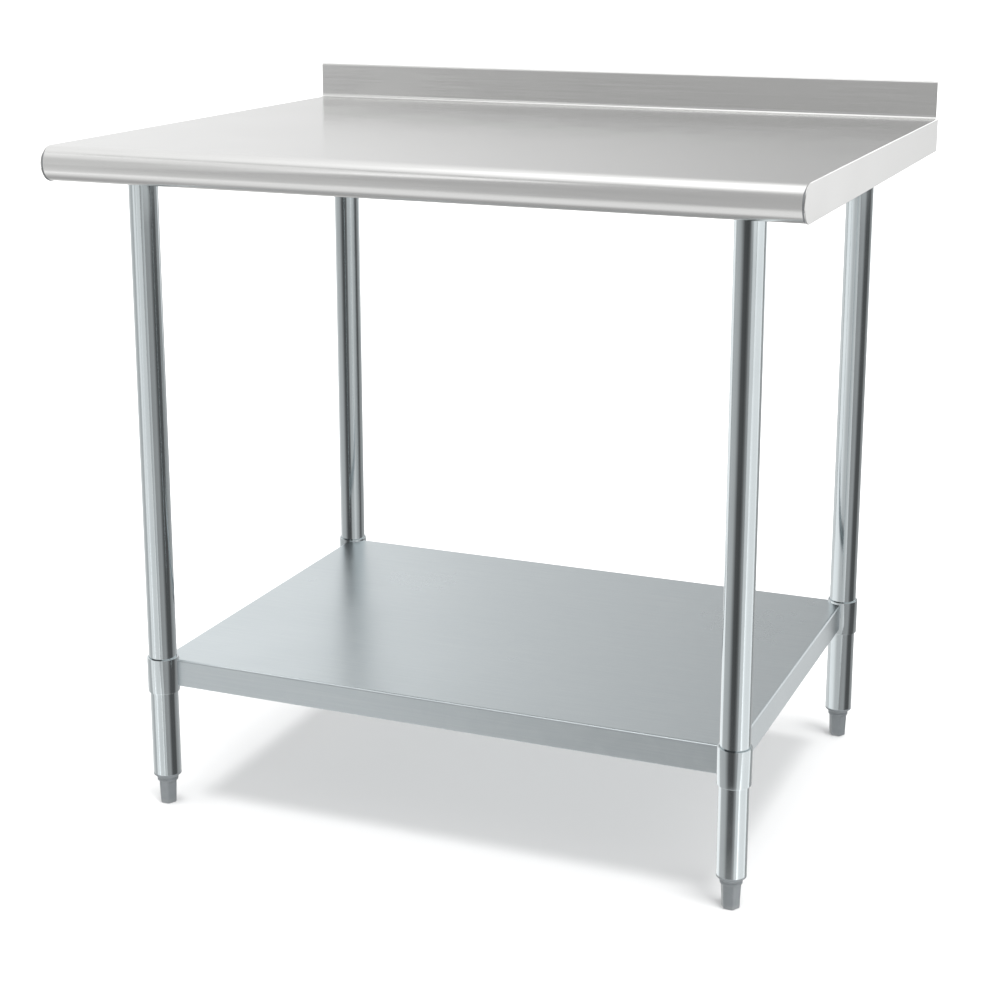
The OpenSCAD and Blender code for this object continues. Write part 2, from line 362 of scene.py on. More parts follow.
def offset_path(path, distance):
    """The path moved sideways to its left by a distance."""
    moved = []
    for i, point in enumerate(path):
        ahead = path[min(i + 1, len(path) - 1)]
        behind = path[max(i - 1, 0)]
        into = (point - behind).normalized() if i else (ahead - point).normalized()
        out = (ahead - point).normalized() if i < len(path) - 1 else into
        normal = Vector((-(into.y + out.y), into.x + out.x)).normalized()
        moved.append(point + normal * distance / max(normal.dot(Vector((-into.y, into.x))), 0.2))
    return moved


def strip_faces(rows):
    """Faces of a bent strip with four points in each row: both ends of its outer and inner side."""
    faces = []
    for i in range(rows - 1):
        a, b = 4 * i, 4 * i + 4
        faces += [(a, a + 2, b + 2, b), (a + 1, b + 1, b + 3, a + 3)]
        faces += [(a, b, b + 1, a + 1), (a + 2, a + 3, b + 3, b + 2)]
    last = 4 * (rows - 1)
    faces += [(0, 1, 3, 2), (last, last + 2, last + 3, last + 1)]
    return faces


def folded_sheet(path, thickness, ends, place):
    """Vertices and faces of a sheet folded along a path and running from ends[i][0] to ends[i][1].

    place turns (along, u, v) into a point of the table."""
    inner = offset_path(path, thickness)
    vertices = []
    for i in range(len(path)):
        for side in (0, 1):
            for face in (path[i], inner[i]):
                vertices.append(place(ends[i][side], face.x, face.y))
    return vertices, strip_faces(len(path))


def half_round(middle_y, middle_z, radius, steps, share=1.0):
    """Points (y, z) of a half circle from its lowest point round the front, or a share of it."""
    points = []
    for k in range(steps + 1):
        angle = -math.pi / 2 - math.pi * share * k / steps
        points.append((middle_y + radius * math.cos(angle), middle_z + radius * math.sin(angle)))
    return points


def revolved(profile, middle, segments=96):
    """Vertices and faces of a closed (radius, height) profile turned round a vertical axis."""
    vertices, faces = [], []
    count = len(profile)
    for k in range(segments):
        angle = 2 * math.pi * k / segments
        for radius, height in profile:
            x = middle.x + radius * math.cos(angle)
            y = middle.y + radius * math.sin(angle)
            vertices.append((x, y, height))
    for k in range(segments):
        for i in range(count):
            a = k * count + i
            b = k * count + (i + 1) % count
            c = ((k + 1) % segments) * count + (i + 1) % count
            d = ((k + 1) % segments) * count + i
            faces.append((a, b, c, d))
    return vertices, faces


def bevelled(piece, width, segments=3, angle_deg=40.0):
    """Rounds the crisp edges a little, with normals that keep the flat faces flat."""
    bevel = piece.modifiers.new("edge_rounding", "BEVEL")
    bevel.width = width
    bevel.segments = segments
    bevel.limit_method = "ANGLE"
    bevel.angle_limit = math.radians(angle_deg)
    bevel.use_clamp_overlap = True
    bevel.harden_normals = True
    return piece


def flattened(piece):
    """Gives each vertex the normal of its largest faces, so that bends don't shade the flats by them."""
    weighted = piece.modifiers.new("flat_shading", "WEIGHTED_NORMAL")
    weighted.mode = "FACE_AREA"
    weighted.weight = 100
    weighted.keep_sharp = True
    return piece


# ---------------------------------------------------------------- worktop

def worktop():
    """Folded top: roll, flat, cove, backsplash and its return, as one sheet drawn from the end."""
    roll_radius = edge_height / 2 - 0.5 * MM
    roll_return = 14 * MM
    cove = 6 * MM
    bend = 3 * MM
    flat_start = nose_y + 1 * MM
    face_y = plate_high.y - 9 * MM
    crest = top_high.z
    crest_return = 14 * MM
    low_z = work_height - 2 * roll_radius
    path = [Vector((nose_y + roll_return, low_z))]
    path += [Vector(point) for point in half_round(nose_y, low_z + roll_radius, roll_radius, 40)]
    rear = [(flat_start, work_height), (face_y, work_height), (face_y, crest),
            (plate_high.y, crest), (plate_high.y, crest - crest_return)]
    path += rounded_path(rear, [cove, bend, bend], 12)
    half = top_high.x
    seam = 1.9 * MM          # the roll's rim stops short of the end plate, less so near its top
    seam_top = 1.2 * MM
    seam_fade = 9 * MM
    notch = 10 * MM          # the backsplash's rear return is cut back at both ends
    ends = []
    for point in path:
        below = work_height - seam_top - point.y
        in_roll = point.x < nose_y + roll_return + MM
        back = seam * min(max(below / seam_fade, 0.0), 1.0) if in_roll else 0.0
        if point.x > face_y + bend:
            back = notch * min((point.x - face_y - bend) / bend, 1.0)
        ends.append((-half + back, half - back))
    vertices, faces = folded_sheet(path, -sheet, ends, lambda x, y, z: (x, y, z))
    return flattened(mesh_piece("worktop_sheet", vertices, faces, stainless, "frame", "stainless_sheet",
                                ["worktop"]))


def painted_seam_shade_strips():
    """A dark grey strip in the gap between each end of the roll and its end plate, a little below flush:
    painted shade for the shadowed recess that the gap leaves.
    """
    radius = edge_height / 2 - 1.3 * MM
    depth = 3 * MM
    width = 2.0 * MM
    middle_z = work_height - edge_height / 2
    steps = 40
    share = 0.96
    outside = half_round(nose_y, middle_z, radius, steps, share)
    inside = half_round(nose_y, middle_z, radius - depth, steps, share)
    for name, side in (("left", -1), ("right", 1)):
        xs = (side * (top_high.x - width), side * top_high.x)
        vertices = [(x, y, z) for row in zip(outside, inside) for x in xs for y, z in row]
        mesh_piece("roll_seam_painted_shade_" + name, vertices, strip_faces(steps + 1), seam_shade_paint, "frame",
                   "grey_plastic")


def end_plate(node, side):
    """Side plate with a half-round nose and a strip turned in along its lower edge."""
    radius = edge_height / 2
    outline = [(plate_high.y, plate_high.z), (plate_high.y, plate_low.z)]
    outline += half_round(nose_y, plate_low.z + radius, radius, 32)
    outer = plate_high.x
    vertices = [(side * x, y, z) for x in (outer - sheet, outer) for y, z in outline]
    count = len(outline)
    faces = [tuple(range(count)), tuple(range(count, 2 * count))]
    faces += [(i, (i + 1) % count, count + (i + 1) % count, count + i) for i in range(count)]
    plate = mesh_piece(node + "_side", vertices, faces, stainless_side, "frame", "stainless_sheet", [node])
    bevelled(plate, 0.7 * MM)
    strip_y = nose_y + 18 * MM
    inner = plate_low.x
    corners = [(side * x, y, z) for x in (inner, outer - sheet) for y in (strip_y, plate_high.y)
               for z in (plate_low.z, plate_low.z + sheet)]
    box_faces = [(0, 1, 3, 2), (4, 6, 7, 5), (0, 4, 5, 1), (2, 3, 7, 6), (0, 2, 6, 4), (1, 5, 7, 3)]
    strip = mesh_piece(node + "_side_turned_in_edge", corners, box_faces, stainless_side, "frame",
                       "stainless_sheet")
    bevelled(strip, 0.4 * MM, 2)


# ---------------------------------------------------------------- undershelf and channels

def undershelf():
    """Pan with turned-down lips; the corners are cut away round the collars."""
    lip = shelf_high.z - shelf_low.z
    bend = 3 * MM
    return_strip = 12 * MM
    half_w, half_d = shelf_high.x, shelf_high.y
    spot = leg_spot["front_right"]
    cx, cy = abs(spot.x), abs(spot.y)
    clear = collar_radius + 0.1 * MM

    def corner_arc(sx, sy, steps=16):
        """Arc of the cut-out round a collar, from the front or rear edge to the side edge of the flat."""
        start = math.pi + math.asin((cy - half_d + bend) / clear)
        end = 1.5 * math.pi - math.asin((cx - half_w + bend) / clear)
        angles = [start + (end - start) * k / steps for k in range(steps + 1)]
        return [(sx * (cx + clear * math.cos(a)), sy * (cy + clear * math.sin(a)), shelf_high.z)
                for a in angles]

    vertices = corner_arc(1, 1) + corner_arc(1, -1)[::-1] + corner_arc(-1, -1) + corner_arc(-1, 1)[::-1]
    faces = [tuple(range(len(vertices)))]
    lower_bend = 1.4 * MM
    path = rounded_path([(bend, 0), (0, 0), (0, -lip), (return_strip, -lip)], [bend, lower_bend], 8)
    for along_x, sign in ((True, -1), (True, 1), (False, -1), (False, 1)):
        half_across = half_d if along_x else half_w
        near, across = (cx, cy) if along_x else (cy, cx)
        ends = []
        for point in path:
            gap = across - (half_across - point.x)
            stop = near - math.sqrt(max(clear ** 2 - gap ** 2, 0))
            ends.append((-stop, stop))
        first = len(vertices)
        for point, stops in zip(path, ends):
            side = sign * (half_across - point.x)
            z = shelf_high.z + point.y
            vertices += [(x, side, z) if along_x else (side, x, z) for x in stops]
        faces += [(first + 2 * i, first + 2 * i + 1, first + 2 * i + 3, first + 2 * i + 2)
                  for i in range(len(path) - 1)]
    piece = mesh_piece("undershelf_pan", vertices, faces, zinc_sheet, "shelf", "galvanised_sheet",
                       ["undershelf"])
    if piece.data.polygons[0].normal.z < 0:         # an open sheet can come out either way round
        piece.data.flip_normals()
    piece.visible_glossy = False                    # the legs' reflections stay even along their length
    gauge = piece.modifiers.new("gauge", "SOLIDIFY")
    gauge.thickness = shelf_sheet
    gauge.offset = -1
    gauge.use_even_offset = True
    flattened(piece)


def hat_channel(node, gauge, along_x, body):
    """Hat channel rolled from sheet: web below, flanges above against the sheet it stiffens."""
    low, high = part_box(node)
    middle = (low + high) / 2
    half = (high.y - low.y) / 2 if along_x else (high.x - low.x) / 2
    end = (high.x - low.x) / 2 if along_x else (high.y - low.y) / 2
    web = half - channel_flange
    corners = [(-half, high.z - gauge), (-web + gauge, high.z - gauge), (-web + gauge, low.z + gauge),
               (web - gauge, low.z + gauge), (web - gauge, high.z - gauge), (half, high.z - gauge)]
    path = rounded_path(corners, [2.0 * MM, 1.0 * MM, 1.0 * MM, 2.0 * MM], 5)

    def place(along, u, z):
        return (middle.x + along, middle.y + u, z) if along_x else (middle.x + u, middle.y + along, z)

    vertices, faces = folded_sheet(path, gauge, [(-end, end)] * len(path), place)
    return flattened(mesh_piece(node + "_rolled", vertices, faces, zinc_sheet, body, "galvanised_sheet",
                                [node]))


# ---------------------------------------------------------------- tubes, inserts and feet

def collar(name):
    """Bright ring welded to the shelf's corner, with a boss for its set screw on the inner side."""
    spot = leg_spot[name]
    low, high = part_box("shelf_collar_" + name)
    outer = collar_radius
    inner = collar_radius - collar_wall
    edge = 0.6 * MM
    profile = [(outer - edge, low.z), (outer - 0.2 * edge, low.z + 0.2 * edge), (outer, low.z + edge),
               (outer, high.z - edge), (outer - 0.2 * edge, high.z - 0.2 * edge), (outer - edge, high.z),
               (inner, high.z), (inner, low.z)]
    vertices, faces = revolved(profile, spot, 128)
    sx, sy = CORNERS[name]
    inward = Vector((-sx, -sy, 0)).normalized()
    across = Vector((-inward.y, inward.x, 0))
    boss_radius = 6.5 * MM
    hole_radius = 3.0 * MM
    hole_edge = 0.4 * MM
    screw_z = centre("shelf_set_screws").z
    start = leg_radius + 1.6 * MM
    end = leg_radius + 7.5 * MM
    rows = [(hole_radius, start), (boss_radius, start), (boss_radius, end - edge),
            (boss_radius - edge, end), (hole_radius + hole_edge, end), (hole_radius, end - hole_edge)]
    segments = 48
    first = len(vertices)
    for k in range(segments):
        angle = 2 * math.pi * k / segments
        for radius, reach in rows:
            point = spot + inward * reach + across * (radius * math.cos(angle))
            vertices.append((point.x, point.y, screw_z + radius * math.sin(angle)))
    count = len(rows)
    for k in range(segments):
        for i in range(count):
            a = first + k * count
            b = first + (k + 1) % segments * count
            faces.append((a + i, a + (i + 1) % count, b + (i + 1) % count, b + i))
    return mesh_piece("shelf_collar_" + name + "_ring", vertices, faces, tube_finish, "shelf",
                      "galvanised_tube", ["shelf_collar_" + name])


def leg_insert(name):
    """Moulded plug: hollow inside the tube, with a tapered flange below that is as wide as the tube."""
    foot_top = insert_low.z
    tube_end = leg_low.z
    neck_radius = 14.7 * MM
    neck_high = foot_top + 1.6 * MM
    plug = leg_radius - leg_wall - 0.1 * MM
    plug_edge = 2 * MM
    rim = 0.4 * MM
    flange_low = tube_end - 2.2 * MM
    bulge = 0.05             # how far the cone swells, as a share of its taper
    profile = [(plug, tube_end), (leg_radius - rim, tube_end), (leg_radius, tube_end - rim),
               (leg_radius, flange_low)]
    steps = 10
    for k in range(1, steps + 1):
        t = k / steps
        radius = leg_radius + (neck_radius - leg_radius) * (t + bulge * math.sin(math.pi * t))
        profile.append((radius, flange_low + (neck_high - flange_low) * t))
    profile += [(neck_radius, foot_top + rim), (neck_radius - rim, foot_top), (stud_bore, foot_top),
                (stud_bore, insert_high.z), (plug - plug_edge, insert_high.z),
                (plug, insert_high.z - plug_edge)]
    vertices, faces = revolved(profile, leg_spot[name], 96)
    mesh_piece("leg_insert_" + name + "_plug", vertices, faces, nylon, "frame", "grey_plastic",
               ["leg_insert_" + name])


def foot(name):
    """Adjustable foot: a tapered hexagon with eased corners, a round rim on top, a soft edge at the
    floor and a blind bore for its stud."""
    middle = leg_spot[name]
    top = foot_high.z
    corner_radius = (foot_high.x - foot_low.x) / 2
    rim_radius = corner_radius + 0.9 * MM
    rim_low = top - 3.6 * MM
    bore_floor = 7.7 * MM
    eased = 0.5 * MM         # what the rounding takes off the hexagon's corners
    bottom_share = 0.89      # the hexagon's size at the floor beside its size at the rim
    edge_rows = ((0.0, 1.5), (0.15, 0.9), (0.4, 0.5), (0.8, 0.22), (1.4, 0.06), (2.0, 0.0))
    segments = 144

    def level_ring(radius_at, z):
        turns = [2 * math.pi * k / segments for k in range(segments)]
        return [(middle.x + radius_at(a) * math.cos(a), middle.y + radius_at(a) * math.sin(a), z)
                for a in turns]

    def hexagon(size, shrink):
        def radius_at(angle):
            wedge = (angle + math.pi / 6) % (math.pi / 3) - math.pi / 6
            flat = size * math.cos(math.pi / 6) / math.cos(math.pi / 6 - abs(wedge))
            return min(flat, size - eased) - shrink
        return radius_at

    def size_at(z):
        return corner_radius * (bottom_share + (1 - bottom_share) * z / rim_low)

    rings = [level_ring(hexagon(size_at(z * MM), less * MM), z * MM) for z, less in edge_rows]
    for share in (0.25, 0.5, 0.75, 1.0):
        rings.append(level_ring(hexagon(size_at(rim_low * share), 0.0), rim_low * share))
    for less, z in ((0.5, rim_low + 0.1 * MM), (0.1, rim_low + 0.5 * MM), (0.0, rim_low + 0.9 * MM),
                    (0.0, top - 0.8 * MM), (0.1, top - 0.4 * MM), (0.5, top)):
        rings.append(level_ring(lambda angle, r=rim_radius - less * MM: r, z))
    for z in (top, bore_floor):
        rings.append(level_ring(lambda angle: stud_bore, z))
    vertices = [point for ring in rings for point in ring]
    faces = [tuple(range(segments))[::-1], tuple(range(len(vertices) - segments, len(vertices)))]
    for level in range(len(rings) - 1):
        for k in range(segments):
            a = level * segments + k
            b = level * segments + (k + 1) % segments
            faces.append((a, b, b + segments, a + segments))
    mesh_piece("foot_" + name + "_moulding", vertices, faces, nylon, "foot_" + name, "grey_plastic",
               ["foot_" + name], 25.0)


# ---------------------------------------------------------------- Geometry Nodes pieces

def node_tree(name, inputs):
    """A new geometry tree with named inputs, the last one a material; returns it and its input node."""
    tree = bpy.data.node_groups.new(name, "GeometryNodeTree")
    tree.interface.new_socket("Geometry", in_out="INPUT", socket_type="NodeSocketGeometry")
    for label, value in inputs.items():
        kind = "NodeSocketInt" if isinstance(value, int) else "NodeSocketFloat"
        made = tree.interface.new_socket(label, in_out="INPUT", socket_type=kind)
        made.default_value = value
    tree.interface.new_socket("Material", in_out="INPUT", socket_type="NodeSocketMaterial")
    tree.interface.new_socket("Geometry", in_out="OUTPUT", socket_type="NodeSocketGeometry")
    return tree, tree.nodes.new("NodeGroupInput")


def lifted(tree, shape, height):
    """The shape moved up by a height."""
    lift = add_node(tree, "ShaderNodeCombineXYZ", None, Z=height)
    return add_node(tree, "GeometryNodeTransform", None, Geometry=shape, Translation=lift)


def stand_on_points(tree, given, shape, **turned):
    """Ends a tree: the shape stands on each point of the input, as real geometry in the material."""
    spots = add_node(tree, "GeometryNodeMeshToPoints", None, Mesh=given.outputs["Geometry"])
    placed = add_node(tree, "GeometryNodeInstanceOnPoints", None, Points=spots, Instance=shape, **turned)
    real = add_node(tree, "GeometryNodeRealizeInstances", None, Geometry=placed)
    coated = add_node(tree, "GeometryNodeSetMaterial", None, Geometry=real,
                      Material=given.outputs["Material"])
    add_node(tree, "NodeGroupOutput", None, Geometry=coated)
    return tree


def tree_piece(name, tree, mesh, sizes, finish, body, slot, replaced=()):
    """Runs a tree on a mesh of points and makes the result a plain, finished piece."""
    source = bpy.data.objects.new(name + "_source", mesh)
    bpy.context.scene.collection.objects.link(source)
    modifier = source.modifiers.new("tree", "NODES")
    modifier.node_group = tree
    sockets = {s.name: s.identifier for s in tree.interface.items_tree if s.in_out == "INPUT"}
    for label, value in sizes.items():
        modifier[sockets[label]] = value
    modifier[sockets["Material"]] = finish
    bpy.context.view_layer.update()
    evaluated = source.evaluated_get(bpy.context.evaluated_depsgraph_get())
    made = bpy.data.meshes.new_from_object(evaluated)
    source.modifiers.remove(modifier)
    bpy.data.objects.remove(source)
    made.name = name
    return finish_piece(name, cleaned(made), finish, body, slot, replaced)


def points_mesh(points, turns=None):
    """Loose points for a tree to stand shapes on, each with the angles that its shape is turned by."""
    mesh = bpy.data.meshes.new("spots")
    mesh.from_pydata([tuple(p) for p in points], [], [])
    if turns is not None:
        attribute = mesh.attributes.new("turn", "FLOAT_VECTOR", "POINT")
        for item, turn in zip(attribute.data, turns):
            item.vector = turn
    return mesh


def tube_tree():
    """A round tube standing on each point: its wall, with eased edges, carried round a circle."""
    tree, given = node_tree("round_tube", {"Radius": 0.019, "Wall": 0.0015, "Length": 0.8, "Edge": 0.0004})
    half_wall = add_node(tree, "ShaderNodeMath", {"operation": "MULTIPLY", 1: 0.5},
                         in0=given.outputs["Wall"])
    middle = add_node(tree, "ShaderNodeMath", {"operation": "SUBTRACT"},
                      in0=given.outputs["Radius"], in1=half_wall)
    ring = add_node(tree, "GeometryNodeCurvePrimitiveCircle", {"Resolution": 128}, Radius=middle)
    section = add_node(tree, "GeometryNodeCurvePrimitiveQuadrilateral", None,
                       Width=given.outputs["Wall"], Height=given.outputs["Length"])
    eased = add_node(tree, "GeometryNodeFilletCurve", {"mode": "POLY", "Count": 4, "Limit Radius": True},
                     Curve=section, Radius=given.outputs["Edge"])
    wall = add_node(tree, "GeometryNodeCurveToMesh", None, Curve=ring, Profile_Curve=eased)
    half = add_node(tree, "ShaderNodeMath", {"operation": "MULTIPLY", 1: 0.5}, in0=given.outputs["Length"])
    return stand_on_points(tree, given, lifted(tree, wall, half))


def legs_and_sockets():
    """Each leg tube, and the cup under the worktop that it stands in."""
    tree = tube_tree()
    rows = (("leg_", "_tube", leg_low.z, leg_high.z, leg_radius, leg_wall, 0.4 * MM, tube_finish,
             "galvanised_tube"),
            ("leg_socket_", "_cup", socket_low.z, socket_high.z, socket_radius, socket_wall, 0.6 * MM,
             fitting_finish, "zinc_fittings"))
    for corner, spot in leg_spot.items():
        for start, end, low_z, high_z, radius, wall, edge, finish, slot in rows:
            node = start + corner
            sizes = {"Radius": radius, "Wall": wall, "Length": high_z - low_z, "Edge": edge}
            base = points_mesh([spot + Vector((0, 0, low_z))])
            tree_piece(node + end, tree, base, sizes, finish, "frame", slot, [node])


def thread_tree():
    """A core with one helical ridge, standing on each point of the input."""
    tree, given = node_tree("stud_thread", {"Outer radius": 0.006, "Pitch": 0.00175, "Length": 0.06})
    turns = add_node(tree, "ShaderNodeMath", {"operation": "DIVIDE"},
                     in0=given.outputs["Length"], in1=given.outputs["Pitch"])
    ridge = add_node(tree, "ShaderNodeMath", {"operation": "MULTIPLY", 1: 0.5}, in0=given.outputs["Pitch"])
    crest = add_node(tree, "ShaderNodeMath", {"operation": "SUBTRACT"},
                     in0=given.outputs["Outer radius"], in1=ridge)
    spiral = add_node(tree, "GeometryNodeCurveSpiral", {"Resolution": 28}, Rotations=turns,
                      Start_Radius=crest, End_Radius=crest, Height=given.outputs["Length"])
    profile = add_node(tree, "GeometryNodeCurvePrimitiveCircle", {"Resolution": 6}, Radius=ridge)
    thread = add_node(tree, "GeometryNodeCurveToMesh", {"Fill Caps": True},
                      Curve=spiral, Profile_Curve=profile)
    half = add_node(tree, "ShaderNodeMath", {"operation": "MULTIPLY", 1: 0.5}, in0=given.outputs["Length"])
    core = add_node(tree, "GeometryNodeMeshCylinder", {"Vertices": 48}, Radius=crest,
                    Depth=given.outputs["Length"])
    both = add_node(tree, "GeometryNodeJoinGeometry", None, in0=lifted(tree, core, half))
    tree.links.new(thread.outputs[0], both.inputs[0])
    return stand_on_points(tree, given, both)


def screw_tree():
    """Socket set screws: a drum with a hexagonal recess, one on each point, turned by its attribute."""
    tree, given = node_tree("set_screws", {"Radius": 0.0039, "Length": 0.007, "Key radius": 0.0023,
                                           "Key depth": 0.003})
    drum = add_node(tree, "GeometryNodeMeshCylinder", {"Vertices": 40, "Side Segments": 1},
                    Radius=given.outputs["Radius"], Depth=given.outputs["Length"])
    half = add_node(tree, "ShaderNodeMath", {"operation": "MULTIPLY", 1: 0.5}, in0=given.outputs["Length"])
    key = add_node(tree, "GeometryNodeMeshCylinder", {"Vertices": 6}, Radius=given.outputs["Key radius"],
                   Depth=given.outputs["Length"])
    top = add_node(tree, "ShaderNodeMath", {"operation": "SUBTRACT"},
                   in0=given.outputs["Length"], in1=given.outputs["Key depth"])
    key_mid = add_node(tree, "ShaderNodeMath", {"operation": "ADD"}, in0=top, in1=half)
    cut = add_node(tree, "GeometryNodeMeshBoolean", {"operation": "DIFFERENCE", "solver": "EXACT"},
                   in0=lifted(tree, drum, half), in1=lifted(tree, key, key_mid))
    turn = add_node(tree, "GeometryNodeInputNamedAttribute", {"data_type": "FLOAT_VECTOR", "Name": "turn"})
    turned = add_node(tree, "FunctionNodeEulerToRotation", None, Euler=turn)
    return stand_on_points(tree, given, cut, Rotation=turned)


def weld_tree():
    """Stack-of-coins weld bead: flattened drops that follow a circle round each point of the input."""
    tree, given = node_tree("weld_bead", {"Ring radius": 0.022, "Bead radius": 0.0018, "Drops": 70,
                                          "Seed": 7})
    ring = add_node(tree, "GeometryNodeCurvePrimitiveCircle", {"Resolution": 96},
                    Radius=given.outputs["Ring radius"])
    spread_out = add_node(tree, "GeometryNodeResampleCurve", None, Curve=ring,
                          Count=given.outputs["Drops"])
    drop = add_node(tree, "GeometryNodeMeshUVSphere", {"Segments": 10, "Rings": 6},
                    Radius=given.outputs["Bead radius"])
    size = add_node(tree, "FunctionNodeRandomValue", {"data_type": "FLOAT", 2: 0.85, 3: 1.15},
                    Seed=given.outputs["Seed"])
    drops = add_node(tree, "GeometryNodeInstanceOnPoints", None, Points=spread_out, Instance=drop,
                     Scale=size.outputs[1])
    bead = add_node(tree, "GeometryNodeRealizeInstances", None, Geometry=drops)
    return stand_on_points(tree, given, bead)


def studs():
    """The threaded studs; each stops a little short of its CAD cylinder at both ends."""
    tree = thread_tree()
    low_gap = 1.0 * MM
    both_gaps = 2.2 * MM
    for name in CORNERS:
        node = "foot_stud_" + name
        low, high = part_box(node)
        spot = leg_spot[name] + Vector((0, 0, low.z + low_gap))
        sizes = {"Outer radius": (high.x - low.x) / 2, "Pitch": thread_pitch,
                 "Length": high.z - low.z - both_gaps}
        tree_piece(node + "_thread", tree, points_mesh([spot]), sizes, fitting_finish, "stud_" + name,
                   "zinc_fittings", [node])


def set_screws():
    """Leg screws face the middle of the table along X; shelf screws face it along the diagonal."""
    tree = screw_tree()
    leg_points, leg_turns, shelf_points, shelf_turns = [], [], [], []
    leg_z = centre("leg_set_screws").z
    shelf_z = centre("shelf_set_screws").z
    leg_reach = leg_radius + 0.1 * MM
    shelf_reach = leg_radius + 0.3 * MM
    for name, (sx, sy) in CORNERS.items():
        leg_points.append(leg_spot[name] + Vector((-sx * leg_reach, 0, leg_z)))
        leg_turns.append((0.0, math.radians(-90 * sx), 0.0))
        inward = Vector((-sx, -sy, 0)).normalized()
        shelf_points.append(leg_spot[name] + inward * shelf_reach + Vector((0, 0, shelf_z)))
        shelf_turns.append((0.0, math.radians(90), math.atan2(inward.y, inward.x)))
    groups = (("leg_set_screws", leg_points, leg_turns, 3.9, 7.0, "frame"),
              ("shelf_set_screws", shelf_points, shelf_turns, 2.95, 9.0, "shelf"))
    for node, points, turns, radius_mm, length_mm, body in groups:
        sizes = {"Radius": radius_mm * MM, "Length": length_mm * MM, "Key radius": 2.3 * MM,
                 "Key depth": 3 * MM}
        tree_piece(node + "_turned", tree, points_mesh(points, turns), sizes, fitting_finish, body,
                   "zinc_fittings", [node])


def weld_beads():
    """Beads where the leg sockets pass through the top channels."""
    web_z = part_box("right_top_channel")[0].z
    points = [leg_spot[name] + Vector((0, 0, web_z)) for name in CORNERS]
    sizes = {"Ring radius": socket_radius + 0.6 * MM, "Bead radius": 1.6 * MM, "Drops": 90, "Seed": 7}
    tree_piece("socket_weld_beads", weld_tree(), points_mesh(points), sizes, weld_finish, "frame",
               "zinc_fittings")


# ---------------------------------------------------------------- assembly

worktop()
# the strips' dark grey is painted shade for the recess at each end of the roll
painted_seam_shade_strips()
end_plate("left_end_plate", -1)
end_plate("right_end_plate", 1)
undershelf()
hat_channel("left_top_channel", sheet, False, "frame")
hat_channel("right_top_channel", sheet, False, "frame")
hat_channel("centre_top_channel", sheet, True, "frame")
hat_channel("shelf_channel", shelf_sheet, True, "shelf")
legs_and_sockets()
for corner_name in CORNERS:
    collar(corner_name)
    leg_insert(corner_name)
    foot(corner_name)
studs()
set_screws()
weld_beads()


# ---------------------------------------------------------------- camera, floor and light

def camera():
    data = bpy.data.cameras.new("camera")
    data.sensor_width = 36.0
    data.lens = 71.9
    data.shift_y = -0.10
    data.clip_end = 100.0
    made = bpy.data.objects.new("camera", data)
    bpy.context.scene.collection.objects.link(made)
    made.location = (0.997, -2.495, 1.196)
    looks_down = 13.62       # degrees below the horizon
    looks_left = 22.28       # degrees from straight at the front
    made.rotation_euler = (math.radians(90.0 - looks_down), 0.0, math.radians(looks_left))
    bpy.context.scene.camera = made


def floor():
    mesh = bpy.data.meshes.new("floor")
    size = 30.0
    corners = [(-size, -size, 0), (size, -size, 0), (size, size, 0), (-size, size, 0)]
    mesh.from_pydata(corners, [], [(0, 1, 2, 3)])
    material = new_material("studio_floor", "F4F4F4", 0.0, 0.9, Specular_IOR_Level=0.0)[0]
    mesh.materials.append(material)
    made = bpy.data.objects.new("floor", mesh)
    bpy.context.scene.collection.objects.link(made)
    made.visible_glossy = False


